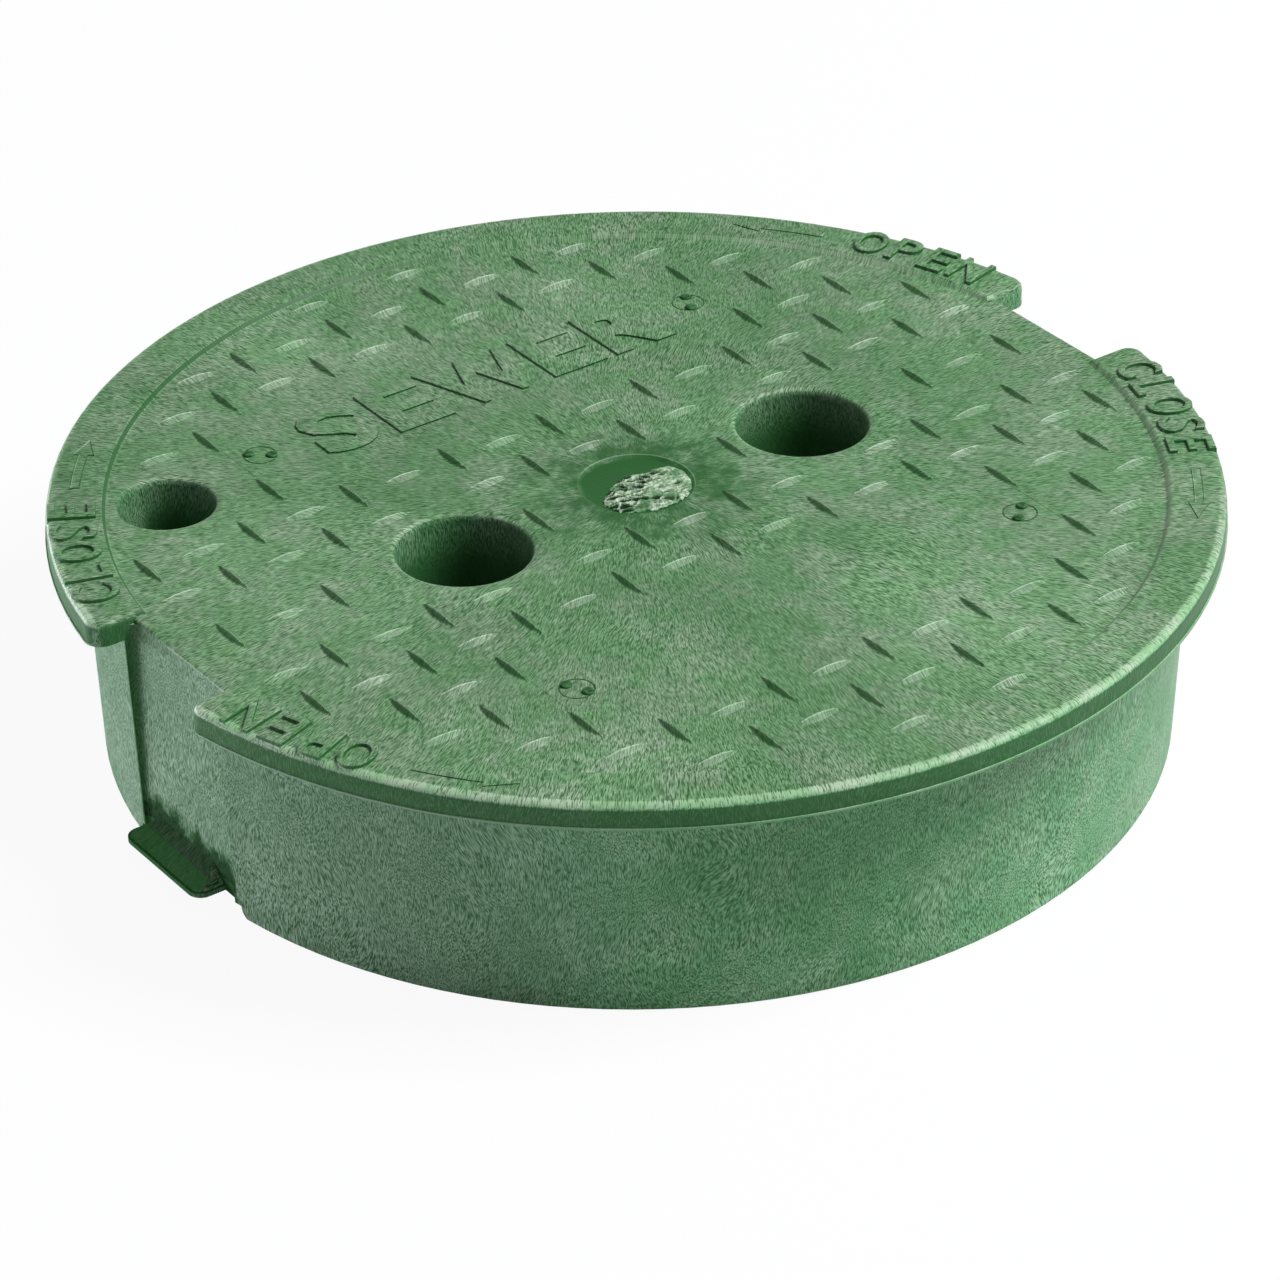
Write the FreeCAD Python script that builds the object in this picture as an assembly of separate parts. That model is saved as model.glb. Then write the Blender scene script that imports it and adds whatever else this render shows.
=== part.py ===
import FreeCAD, Part
import math
import os

# Round twist-lock cover for a ground valve box, moulded in one piece.
# Millimetres, +Z up, origin at the middle of the skirt's foot.
# +X runs through the two finger holes and out through the two locking notches.

# Flange and rim
FLANGE_DIA = 280.0
HEIGHT = 61.5
FLANGE_THICKNESS = 6.2
RIM_BAND = 14.0
RIM_STEP = 1.35
STEP_RUN = 1.5
RIM_ROUND = 2.0
EDGE_FLATS = 3
RIM_END_CORNER = 4.0
PARTING_LIP = 0.3
PARTING_LIP_THICKNESS = 0.5

# Deck and gate dish
DECK_THICKNESS = 5.0
GATE_DISH_DIA = 28.0
GATE_DISH_DEPTH = 0.7
GATE_DISH_SLOPE = 1.0

# Skirt
FLANGE_OVERHANG = 8.5
SKIRT_TAPER = 2.0
SKIRT_WALL = 4.0
FOOT_BEVEL = 0.6

# Locking notches, with a flat panel set into the skirt under each
NOTCH_WIDTH = 39.4
PANEL_INSET = 4.3
PANEL_WALL = 4.0
PANEL_COVE = 2.0
PANEL_EDGE_ROUND = 1.2
RELIEF_HEIGHT = 3.6
RELIEF_WIDTH = 43.0

# Locking lugs at the foot of the panels
LUG_OUT = 7.8
LUG_LENGTH = 32.5
LUG_SHIFT = 2.4
LUG_LIP = 1.2
LUG_LIP_CORNER = 3.5
LUG_INSET = 0.7
LUG_RISE = 5.2
LUG_HIP = 4.0
LUG_KNEE_OUT = 2.8
LUG_KNEE_DROP = 2.2
LUG_END_BORDER = 0.9
LUG_END_HOLLOW = 0.6

# Finger holes
FINGER_DIA = 32.0
FINGER_SPACING = 99.4
FINGER_TUBE_WALL = 3.5
FINGER_TUBE_DEPTH = 16.0
HOLE_EDGE_ROUND = 2.0

# Bolt hole
BOLT_DIA = 23.0
BOLT_FROM_EDGE = 28.7
BOLT_ANGLE = 147.5
BOLT_BOSS_WALL = 4.0
BOLT_BOSS_DEPTH = 16.0

# Raised tread bars, laid in rows with lengthwise and crosswise bars in turn
BAR_PITCH = 14.22
BAR_LENGTH = 13.5
BAR_WIDTH = 3.0
BAR_HEIGHT = 1.2
BAR_ROOT = 0.5
BAR_CLEARANCE = 2.0
BAR_STEP_CLEARANCE = 1.0
MIDDLE_ROW_GAP = 1.5

# Smooth plates for lettering, one each side of the finger holes
PLATE_LENGTH = 139.0
PLATE_WIDTH = 39.0
PLATE_OFFSET = 65.0

# Ribs under the deck
RIB_COUNT = 8
RIB_THICKNESS = 3.0
RIB_DEPTH = 6.0
RING_RIB_DIA = 168.0

FLANGE_R = FLANGE_DIA / 2
FLANGE_Z = HEIGHT - FLANGE_THICKNESS
DECK_R = FLANGE_R - RIM_BAND
DECK_Z = HEIGHT - RIM_STEP
DECK_UNDER_Z = DECK_Z - DECK_THICKNESS
SKIRT_R = FLANGE_R - FLANGE_OVERHANG
FOOT_R = SKIRT_R - SKIRT_TAPER
NOTCH_Y = NOTCH_WIDTH / 2
PANEL_X = SKIRT_R - PANEL_INSET
BEYOND = FLANGE_DIA
BOLT_R = FLANGE_R - BOLT_FROM_EDGE
RIB_FOOT_Z = DECK_UNDER_Z - RIB_DEPTH

V = FreeCAD.Vector
AXIS = V(0, 0, 1)
CENTRE = V(0, 0, 0)


def polygon_face(points):
    return Part.Face(Part.makePolygon(points + points[:1]))


def turned(edges):
    """Solid of revolution about Z from the edges of a closed half section."""
    return Part.Face(Part.Wire(edges)).revolve(CENTRE, AXIS, 360)


def outline(points):
    """Edges of the closed polygon through the points."""
    return [line(start, end) for start, end in zip(points, points[1:] + points[:1])]


def line(start, end):
    return Part.LineSegment(start, end).toShape()


def soft_edge(*poles):
    """Points along an edge rounded in EDGE_FLATS flats, from the first pole to the last."""
    points = []
    for i in range(EDGE_FLATS + 1):
        t = i / EDGE_FLATS
        rung = list(poles)
        while len(rung) > 1:
            rung = [p * (1 - t) + q * t for p, q in zip(rung, rung[1:])]
        points.append(rung[0])
    return points


def twice(shape):
    """The shape and its twin, half a turn round."""
    twin = shape.copy()
    twin.rotate(CENTRE, AXIS, 180)
    return [shape, twin]


def upright_edges(shape, keep):
    """Straight edges along Z whose place passes the test."""
    found = []
    for edge in shape.Edges:
        if edge.BoundBox.XLength < 1e-6 and edge.BoundBox.YLength < 1e-6 and keep(edge.BoundBox.Center):
            found.append(edge)
    return found


def skirt_and_deck():
    """Tapered skirt under a flat deck, solid inside, with a bevelled foot."""
    body = turned(outline([
        V(0, 0, 0), V(FOOT_R - FOOT_BEVEL, 0, 0), V(FOOT_R, 0, FOOT_BEVEL),
        V(SKIRT_R, 0, FLANGE_Z), V(SKIRT_R, 0, DECK_Z), V(0, 0, DECK_Z),
    ]))
    for cutter in twice(notch_cutter()):
        body = body.cut(cutter)
    return body


def notch_cutter():
    """Block that cuts one flat panel into the skirt, with coved inner corners."""
    block = Part.makeBox(BEYOND, NOTCH_WIDTH, BEYOND, V(PANEL_X, -NOTCH_Y, -BEYOND / 2))
    corners = upright_edges(block, lambda c: c.x < PANEL_X + 1)
    return block.makeFillet(PANEL_COVE, corners)


def hollow():
    """Space inside the skirt, flat behind the panels."""
    space = turned(outline([
        V(0, 0, 0), V(FOOT_R - SKIRT_WALL, 0, 0),
        V(SKIRT_R - SKIRT_WALL, 0, DECK_UNDER_Z), V(0, 0, DECK_UNDER_Z),
    ]))
    wall_x = PANEL_X - PANEL_WALL
    wall_y = NOTCH_Y + PANEL_WALL
    for block in twice(Part.makeBox(BEYOND, 2 * wall_y, BEYOND, V(wall_x, -wall_y, -BEYOND / 2))):
        space = space.cut(block)
    return space


def ring_half(inner, outer, z, thickness, corner):
    """Flat half ring on the +Y side, from notch to notch, with rounded corners in plan."""
    inner_x = math.sqrt(inner ** 2 - NOTCH_Y ** 2)
    outer_x = math.sqrt(outer ** 2 - NOTCH_Y ** 2)
    plan = Part.Wire([
        Part.Arc(V(outer_x, NOTCH_Y, z), V(0, outer, z), V(-outer_x, NOTCH_Y, z)).toShape(),
        line(V(-outer_x, NOTCH_Y, z), V(-inner_x, NOTCH_Y, z)),
        Part.Arc(V(-inner_x, NOTCH_Y, z), V(0, inner, z), V(inner_x, NOTCH_Y, z)).toShape(),
        line(V(inner_x, NOTCH_Y, z), V(outer_x, NOTCH_Y, z)),
    ])
    block = Part.Face(plan).extrude(V(0, 0, thickness))
    return block.makeFillet(corner, upright_edges(block, lambda c: True))


def rim_half():
    """Half of the flange, from its parting line lip to the rounded rim that stands above the deck."""
    side_r = FLANGE_R - PARTING_LIP
    rim = ring_half(DECK_R - RIM_BAND / 2, side_r, FLANGE_Z, FLANGE_THICKNESS, RIM_END_CORNER)
    for cutter in rim_rounding(side_r):
        rim = rim.cut(cutter)
    lip_corner = RIM_END_CORNER + PARTING_LIP
    lip = ring_half(SKIRT_R - SKIRT_WALL, FLANGE_R, FLANGE_Z, PARTING_LIP_THICKNESS, lip_corner)
    return [rim, lip]


def rim_edge_section(reach):
    """Section of the space past the rim's rounded top edge, which faces +X at the reach from the Z axis."""
    start = V(reach - RIM_ROUND, 0, HEIGHT)
    end = V(reach, 0, HEIGHT - RIM_ROUND)
    clear = V(reach + RIM_ROUND, 0, HEIGHT + RIM_ROUND)
    edge = soft_edge(start, V(end.x, 0, start.z), end)
    return polygon_face(edge + [V(clear.x, 0, end.z), clear, V(start.x, 0, clear.z)])


def rim_rounding(side_r):
    """Cutters that round the top of a half rim: its outer edge, its ends and the corners between them."""
    end = rim_edge_section(0)
    end.rotate(CENTRE, AXIS, -90)
    end.translate(V(-BEYOND, NOTCH_Y, 0))
    cutters = [rim_edge_section(side_r).revolve(CENTRE, AXIS, 360), end.extrude(V(2 * BEYOND, 0, 0))]
    corner_y = NOTCH_Y + RIM_END_CORNER
    corner_x = math.sqrt((side_r - RIM_END_CORNER) ** 2 - corner_y ** 2)
    turn = 90 + math.degrees(math.atan2(corner_y, corner_x))
    for side in (1, -1):
        centre = V(side * corner_x, corner_y, 0)
        corner = rim_edge_section(RIM_END_CORNER)
        corner.rotate(CENTRE, AXIS, -90)
        corner.translate(centre)
        cutters.append(corner.revolve(centre, AXIS, side * turn))
    return cutters


def panel_rounding():
    """Cutter that rounds the deck's edge above the panel on the +X side."""
    start = V(PANEL_X - PANEL_EDGE_ROUND, -NOTCH_Y, DECK_Z)
    end = V(PANEL_X, -NOTCH_Y, DECK_Z - PANEL_EDGE_ROUND)
    clear = V(PANEL_X + PANEL_COVE + PANEL_EDGE_ROUND, -NOTCH_Y, DECK_Z + PANEL_EDGE_ROUND)
    edge = soft_edge(start, V(end.x, end.y, start.z), end)
    section = edge + [V(clear.x, clear.y, end.z), clear, V(start.x, clear.y, clear.z)]
    return polygon_face(section).extrude(V(0, NOTCH_WIDTH, 0))


def deck_recess():
    """Cutter that clears the deck inside the rim, leaving a soft step up to it."""
    foot = V(DECK_R - STEP_RUN / 2, 0, DECK_Z)
    brow = V(DECK_R + STEP_RUN / 2, 0, HEIGHT)
    over_z = HEIGHT + RIM_STEP
    step = soft_edge(foot, V(DECK_R, 0, DECK_Z), V(DECK_R, 0, HEIGHT), brow)
    return turned(outline([V(0, 0, DECK_Z)] + step + [V(brow.x, 0, over_z), V(0, 0, over_z)]))


def foot_relief():
    """Cutter that lifts the skirt's foot under both panels, with rounded shoulders."""
    half = RELIEF_WIDTH / 2
    foot = half + RELIEF_HEIGHT
    turn_y = foot - RELIEF_HEIGHT * math.sqrt(0.5)
    turn_z = RELIEF_HEIGHT * (1 - math.sqrt(0.5))
    face = Part.Face(Part.Wire([
        line(V(0, -half, RELIEF_HEIGHT), V(0, half, RELIEF_HEIGHT)),
        Part.Arc(V(0, half, RELIEF_HEIGHT), V(0, turn_y, turn_z), V(0, foot, 0)).toShape(),
        line(V(0, foot, 0), V(0, foot, -RELIEF_HEIGHT)),
        line(V(0, foot, -RELIEF_HEIGHT), V(0, -foot, -RELIEF_HEIGHT)),
        line(V(0, -foot, -RELIEF_HEIGHT), V(0, -foot, 0)),
        Part.Arc(V(0, -foot, 0), V(0, -turn_y, turn_z), V(0, -half, RELIEF_HEIGHT)).toShape(),
    ]))
    face.translate(V(-BEYOND, 0, 0))
    return face.extrude(V(2 * BEYOND, 0, 0))


def lug_plate(inset, height):
    """Plate in the lug's outline, drawn in by the inset, with rounded outer corners."""
    outer_x = -(PANEL_X + LUG_OUT - inset)
    root_x = -(PANEL_X - PANEL_WALL / 2)
    low_y = LUG_SHIFT - LUG_LENGTH / 2 + inset
    plate = Part.makeBox(root_x - outer_x, LUG_LENGTH - 2 * inset, height, V(outer_x, low_y, RELIEF_HEIGHT))
    corners = upright_edges(plate, lambda c: c.x < root_x - LUG_OUT / 2)
    return plate.makeFillet(LUG_LIP_CORNER - inset, corners)


def beyond_hip(inset, side):
    """Space past the sloped end of a lug, with the slope's foot at the inset from the lug's end."""
    hip = math.atan2(LUG_HIP, LUG_RISE - LUG_LIP)
    foot = V(-(PANEL_X + 2 * LUG_OUT), LUG_SHIFT + side * (LUG_LENGTH / 2 - inset), RELIEF_HEIGHT + LUG_LIP)
    slope = V(0, -side * math.sin(hip), math.cos(hip)) * LUG_LENGTH
    out = V(0, side * LUG_LENGTH, 0)
    return polygon_face([foot, foot + slope, foot + slope + out, foot + out]).extrude(V(4 * LUG_OUT, 0, 0))


def lug():
    """Wedge at the foot of the -X panel: a lipped plate, a knee-shaped top and sloped, hollowed ends."""
    low_y = LUG_SHIFT - LUG_LENGTH / 2
    along = V(0, LUG_LENGTH, 0)
    root_x = -(PANEL_X - PANEL_WALL / 2)
    toe_x = -(PANEL_X + LUG_OUT - LUG_INSET)
    top_z = RELIEF_HEIGHT + LUG_RISE
    lip_z = RELIEF_HEIGHT + LUG_LIP
    section = polygon_face([
        V(root_x, low_y, RELIEF_HEIGHT), V(toe_x, low_y, RELIEF_HEIGHT), V(toe_x, low_y, lip_z),
        V(-PANEL_X - LUG_KNEE_OUT, low_y, top_z - LUG_KNEE_DROP),
        V(-PANEL_X, low_y, top_z), V(root_x, low_y, top_z),
    ])
    wedge = section.extrude(along).common(lug_plate(LUG_INSET, LUG_RISE))

    back_x = -PANEL_X - LUG_END_BORDER
    floor_z = lip_z + LUG_END_BORDER / 2
    end_hollow = polygon_face([
        V(back_x, low_y, floor_z), V(toe_x + 3 * LUG_END_BORDER, low_y, floor_z),
        V(back_x, low_y, top_z - 2 * LUG_END_BORDER),
    ]).extrude(along)
    for side in (1, -1):
        wedge = wedge.cut(beyond_hip(LUG_INSET, side))
        wedge = wedge.cut(end_hollow.common(beyond_hip(LUG_INSET + LUG_END_HOLLOW, side)))
    return lug_plate(0, LUG_LIP).fuse(wedge)


def hole_cutter(x, y, dia):
    """Through hole whose edge at the deck is rounded over."""
    r = dia / 2
    shoulder_z = DECK_Z - HOLE_EDGE_ROUND
    mouth = r + HOLE_EDGE_ROUND
    over_z = DECK_Z + BAR_HEIGHT + RIM_STEP
    mouth_edge = soft_edge(V(r, 0, shoulder_z), V(r, 0, DECK_Z), V(mouth, 0, DECK_Z))
    cutter = turned(outline([V(0, 0, 0), V(r, 0, 0)] + mouth_edge + [V(mouth, 0, over_z), V(0, 0, over_z)]))
    cutter.translate(V(x, y, 0))
    return cutter


def tube(x, y, dia, wall, depth):
    """Solid of the tube under a hole; the hole is cut through it afterwards."""
    return Part.makeCylinder(dia / 2 + wall, depth + DECK_THICKNESS / 2, V(x, y, DECK_UNDER_Z - depth))


def ribs():
    """Ribs under the deck: bars right across and one ring."""
    height = RIB_DEPTH + DECK_THICKNESS / 2
    found = []
    for i in range(RIB_COUNT // 2):
        reach = SKIRT_R - SKIRT_WALL / 2 if i else PANEL_X - PANEL_WALL / 2
        rib = Part.makeBox(2 * reach, RIB_THICKNESS, height, V(-reach, -RIB_THICKNESS / 2, RIB_FOOT_Z))
        rib.rotate(CENTRE, AXIS, 360.0 * i / RIB_COUNT)
        found.append(rib)
    ring_r = RING_RIB_DIA / 2
    ring = Part.makeCylinder(ring_r + RIB_THICKNESS / 2, height, V(0, 0, RIB_FOOT_Z))
    found.append(ring.cut(Part.makeCylinder(ring_r - RIB_THICKNESS / 2, height, V(0, 0, RIB_FOOT_Z))))
    return found


def gate_dish():
    """Shallow round dish with a sloped side, at the middle of the deck."""
    r = GATE_DISH_DIA / 2
    floor_z = DECK_Z - GATE_DISH_DEPTH
    over_z = DECK_Z + RIM_STEP
    lip_r = r + GATE_DISH_SLOPE * RIM_STEP / GATE_DISH_DEPTH
    return turned(outline([
        V(0, 0, floor_z), V(r - GATE_DISH_SLOPE, 0, floor_z), V(lip_r, 0, over_z), V(0, 0, over_z),
    ]))


def tread_bar():
    """One bar along Y at the origin: two curved flanks that meet in a crest and run out to points."""
    half_width = BAR_WIDTH / 2
    half_length = BAR_LENGTH / 2
    slant = math.hypot(half_width, BAR_HEIGHT)
    reach = half_width * BAR_HEIGHT / slant
    flank_r = (half_length ** 2 + reach ** 2) / (2 * reach)
    outward = V(-BAR_HEIGHT, 0, half_width) / slant
    down_flank = V(-half_width, 0, -BAR_HEIGHT) / slant
    core = outward * (reach - flank_r)
    run = 8 * BAR_WIDTH
    flank = Part.makeCylinder(flank_r, 2 * run, core - down_flank * run, down_flank)
    side = Part.makeBox(2 * BAR_WIDTH, 2 * BAR_LENGTH, BAR_ROOT + 2 * BAR_HEIGHT,
                        V(-2 * BAR_WIDTH, -BAR_LENGTH, -BAR_ROOT))
    near, far = twice(side.common(flank))
    return near.fuse(far).removeSplitter()


def bar_places():
    """Centre and direction of every bar that clears the rim, the holes, the gate dish and the plates."""
    bolt = bolt_centre()
    keep_out = [
        (FINGER_SPACING / 2, 0, FINGER_DIA / 2 + HOLE_EDGE_ROUND),
        (-FINGER_SPACING / 2, 0, FINGER_DIA / 2 + HOLE_EDGE_ROUND),
        (bolt.x, bolt.y, BOLT_DIA / 2 + HOLE_EDGE_ROUND),
        (0, 0, GATE_DISH_DIA / 2),
    ]

    def clear(x, y, along_x):
        reach_x = (BAR_LENGTH if along_x else BAR_WIDTH) / 2
        reach_y = (BAR_WIDTH if along_x else BAR_LENGTH) / 2
        tip_x = abs(x) + (reach_x if along_x else 0)
        tip_y = abs(y) + (0 if along_x else reach_y)
        if math.hypot(tip_x, tip_y) > DECK_R - BAR_STEP_CLEARANCE or tip_x > PANEL_X - BAR_CLEARANCE:
            return False
        if abs(x) - reach_x < PLATE_LENGTH / 2 and abs(abs(y) - PLATE_OFFSET) < PLATE_WIDTH / 2 + reach_y:
            return False
        for hole_x, hole_y, hole_r in keep_out:
            gap_x = max(0, abs(x - hole_x) - (reach_x if along_x else 0))
            gap_y = max(0, abs(y - hole_y) - (0 if along_x else reach_y))
            if math.hypot(gap_x, gap_y) < hole_r + BAR_CLEARANCE:
                return False
        return True

    columns = int(DECK_R / BAR_PITCH)
    rows = [(0.0, 1)]
    for j in range(columns):
        rows += [(side * (MIDDLE_ROW_GAP + j) * BAR_PITCH, j) for side in (1, -1)]
    places = []
    for y, phase in rows:
        for k in range(-columns, columns + 1):
            along_x = (k + phase) % 2 == 0
            if clear(k * BAR_PITCH, y, along_x):
                places.append((k * BAR_PITCH, y, along_x))
    return places


def tread():
    upright = tread_bar()
    across = upright.copy()
    across.rotate(CENTRE, AXIS, 90)
    bars = []
    for x, y, along_x in bar_places():
        bar = (across if along_x else upright).copy()
        bar.translate(V(x, y, DECK_Z))
        bars.append(bar)
    return bars


def bolt_centre():
    angle = math.radians(BOLT_ANGLE)
    return V(BOLT_R * math.cos(angle), BOLT_R * math.sin(angle), 0)


def cover():
    body = skirt_and_deck()
    rim = [piece for half in rim_half() for piece in twice(half)]
    body = body.multiFuse(rim).removeSplitter()
    body = body.cut(deck_recess())
    for cutter in twice(panel_rounding()):
        body = body.cut(cutter)
    body = body.cut(hollow())
    body = body.cut(foot_relief())

    bolt = bolt_centre()
    finger_x = FINGER_SPACING / 2
    tubes = [tube(x, 0, FINGER_DIA, FINGER_TUBE_WALL, FINGER_TUBE_DEPTH) for x in (finger_x, -finger_x)]
    tubes.append(tube(bolt.x, bolt.y, BOLT_DIA, BOLT_BOSS_WALL, BOLT_BOSS_DEPTH))
    body = body.multiFuse(ribs() + tubes + twice(lug())).removeSplitter()

    body = body.cut(gate_dish())
    for x in (finger_x, -finger_x):
        body = body.cut(hole_cutter(x, 0, FINGER_DIA))
    body = body.cut(hole_cutter(bolt.x, bolt.y, BOLT_DIA))
    return body.multiFuse(tread())


shape = cover()
if len(shape.Solids) == 1:
    shape = shape.Solids[0]
os.makedirs("parts", exist_ok=True)
shape.exportStep("parts/cover.step")
print("solids", len(shape.Solids), "valid", shape.isValid(), "volume cm3", round(shape.Volume / 1000, 1))
print("bars", len(bar_places()), "box", shape.optimalBoundingBox(False, False))
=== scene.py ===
import math
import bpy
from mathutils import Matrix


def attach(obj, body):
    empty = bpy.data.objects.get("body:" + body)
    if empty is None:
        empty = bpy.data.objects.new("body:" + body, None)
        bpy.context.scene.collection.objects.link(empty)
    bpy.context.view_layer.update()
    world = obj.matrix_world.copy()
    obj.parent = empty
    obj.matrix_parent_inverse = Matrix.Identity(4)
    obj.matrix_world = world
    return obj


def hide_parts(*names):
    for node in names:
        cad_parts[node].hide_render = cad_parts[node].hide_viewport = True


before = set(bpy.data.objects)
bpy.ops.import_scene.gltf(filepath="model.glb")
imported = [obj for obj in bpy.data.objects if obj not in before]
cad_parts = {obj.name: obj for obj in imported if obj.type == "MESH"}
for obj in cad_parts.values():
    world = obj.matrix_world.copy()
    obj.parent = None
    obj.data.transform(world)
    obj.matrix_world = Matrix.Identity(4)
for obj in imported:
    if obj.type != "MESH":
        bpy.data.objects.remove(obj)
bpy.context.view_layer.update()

from types import SimpleNamespace

import bmesh
import bpy
from mathutils import Vector, geometry, noise

MM = 0.001

# the moulded surfaces: heights above the foot, and places that bound the bars and the lugs
RIM_TOP = 61.5 * MM
DECK_TOP = 60.15 * MM
DISH_FLOOR = 59.45 * MM
FLANGE_UNDERSIDE = 55.3 * MM
LUG_KNEE = 6.6 * MM
LUG_TOP = 10 * MM
LUG_FACE_X = 127.4 * MM
BAR_FIELD_RADIUS = 125 * MM
CREST_FIELD_RADIUS = 124 * MM
CREST_RISE = 0.3 * MM
CRISP_ANGLE = 12
SHELL_SMOOTH_ANGLE = 36
SHELL_WELD = 0.002 * MM
WELD = 0.005 * MM

# raised service word on the far plate: letters with their centres and widths
FONT_SIZE_PER_HEIGHT = 1.37
WORD_HEIGHT = 21.6 * MM
WORD_RISE = 0.6 * MM
WORD_CENTRE_Y = 64.2 * MM
WORD_LETTERS = (
    ("S", -42.7, 15.8), ("E", -23.1, 15.8), ("W", 0.1, 27.8), ("E", 22.6, 15.8), ("R", 42.6, 18.1))
WORD_THICKENING = 0.9 * MM
WORD_DRAFT = 0.2 * MM

# raised turning words and arrows on the rim: angles in degrees, words by first letter and pitch
CLOSE_FIRST, CLOSE_PITCH = -13.75, 4.12
OPEN_FIRST, OPEN_PITCH = 26.85, 4.17
RIM_LETTER_HEIGHT = 11.4 * MM
RIM_LETTER_WIDTHS = {"C": 7.4, "E": 6.9, "L": 6.5, "N": 8.3, "O": 8.3, "P": 7.1, "S": 7.0}
RIM_LETTER_RADIUS = 133.5 * MM
RIM_LETTER_RISE = 0.9 * MM
RIM_LETTER_ROOT = 1.5 * MM
RIM_LETTER_THICKENING = -0.1 * MM
RIM_LETTER_DRAFT = 0.35 * MM
CLOSE_ARROW_TAIL, CLOSE_ARROW_TIP = -35.0, -45.0
OPEN_ARROW_TAIL, OPEN_ARROW_TIP = 32.5, 43.0
ARROW_RADIUS = 133 * MM
ARROW_SHAFT = 2.2 * MM
ARROW_HEAD = 5.2 * MM
ARROW_HEAD_TURN = 3.2
ARROW_RISE = 0.55 * MM
ARROW_ROOT = 0.3 * MM
ARROW_DRAFT = 0.3 * MM

# insert plates and the marks of their fixing screws, each with its sides of the deck and its pips' angle
PLATE_HALF_LENGTH = 70.5 * MM
PLATE_INNER_Y = 46.4 * MM
PLATE_OUTER_Y = 84.6 * MM
PLATE_CORNER = 4 * MM
LINE_ROOT = 0.1 * MM
HAIRLINE_WIDTH = 0.25 * MM
HAIRLINE_RISE = 0.06 * MM
SCREW_X = 64 * MM
SCREW_Y = 65.3 * MM
SCREW_RING = 8.3 * MM
SCREW_RING_WIDTH = 0.25 * MM
SCREW_RING_RISE = 0.1 * MM
PIP_SPACING = 5.6 * MM
PIP_WIDTH = 2.8 * MM
PIP_DEPTH = 1.2 * MM
PIP_ROUNDING = 0.35 * MM
PIP_SMOOTH_ANGLE = 50
SCREW_MARKS = (
    ("screw_mark_far_left", -1, 1, -39), ("screw_mark_far_right", 1, 1, 66),
    ("screw_mark_near_right", 1, -1, 42), ("screw_mark_near_left", -1, -1, -65))

# the torn stub at the gate: its outline on the dish floor, and its cells
TEAR_OUTLINE = (
    (-11, -1.5), (-6.5, 2), (-1.5, 4.8), (2, 4.9), (5, 3.4), (8.3, 3.7), (12, 3), (13.2, -1.3), (12, -6),
    (9.7, -9.6), (7, -11.5), (2, -12.6), (-2, -12.4), (-5.5, -11), (-9, -9.5), (-11, -6.7), (-11.6, -3.7))
TEAR_FIELD = 27 * MM
TEAR_MIDDLE_X, TEAR_MIDDLE_Y = 0.8 * MM, -4 * MM
TEAR_ROOT = 0.2 * MM
TEAR_BASE = 0.3 * MM
TEAR_CELL = 2.0 * MM
TEAR_STEP = 0.22 * MM
TEAR_WEB_WIDTH = 0.26
TEAR_EDGE_SLOPE = 1.6 * MM
TEAR_RAGGEDNESS = 0.5 * MM
TEAR_WOBBLE = 0.8 * MM
TEAR_SEED = 1
TEAR_SMOOTH_ANGLE = 40

# fibres in the plastic, and places on the deck that hold more of them: x, y, spread and extra
FIBRE_WIDTH = 0.26 * MM
DECK_FIBRE_LENGTH = 1.8 * MM
SIDE_FIBRE_LENGTH = 1.7 * MM
DECK_WANDER = 10 * MM
SIDE_SWIRL = 24 * MM
INNER_RING = 4 * MM
PALE_SPOTS = ((-90, 17, 55, 0.28), (30, -102, 50, 0.28), (-37, 110, 40, 0.12))
GATE_RAGGEDNESS = 50 * MM
LUG_RAGGEDNESS = 14 * MM

# noise in the plastic: scale, detail and roughness
DRIFT_NOISE = (28.0, 1.0, 0.5)
FIBRE_NOISE = (1.0, 1.0, 0.6)
CLOUD_NOISE = (17.0, 2.0, 0.55)
PATCH_NOISE = (190.0, 3.0, 0.65)
BLEACH_NOISE = (75.0, 2.0, 0.6)
GRAIN_NOISE = (1500.0, 1.0, 0.5)

# soft steps by height: where each place begins, and where it is full
ABOVE_DECK = (60.25 * MM, 60.45 * MM)
BELOW_DECK = (60.2 * MM, 60.1 * MM)
ABOVE_RIM = (61.52 * MM, 61.6 * MM)
RIM_LETTER_EDGE = (61.6 * MM, 61.7 * MM)
STEP_FOOT = (60.3 * MM, 60.5 * MM)
STEP_HEAD = (61.55 * MM, 61.45 * MM)
SHOULDER_FOOT = (60.0 * MM, 60.6 * MM)
SHOULDER_HEAD = (61.56 * MM, 61.52 * MM)
PARTING_LINE = (FLANGE_UNDERSIDE + 0.62 * MM, FLANGE_UNDERSIDE + 0.52 * MM)
DOWN_A_HOLE = (58 * MM, 46 * MM)
DOWN_THE_SKIRT = (40 * MM, 4 * MM)
ROUND_A_LUG = (16 * MM, 11 * MM)
LUG_ROOT = (15 * MM, 9 * MM)
LUG_END_TOP = (9 * MM, 8 * MM)
ABOVE_LUG_KNEE = (LUG_KNEE - 0.1 * MM, LUG_KNEE + 0.1 * MM)

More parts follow.
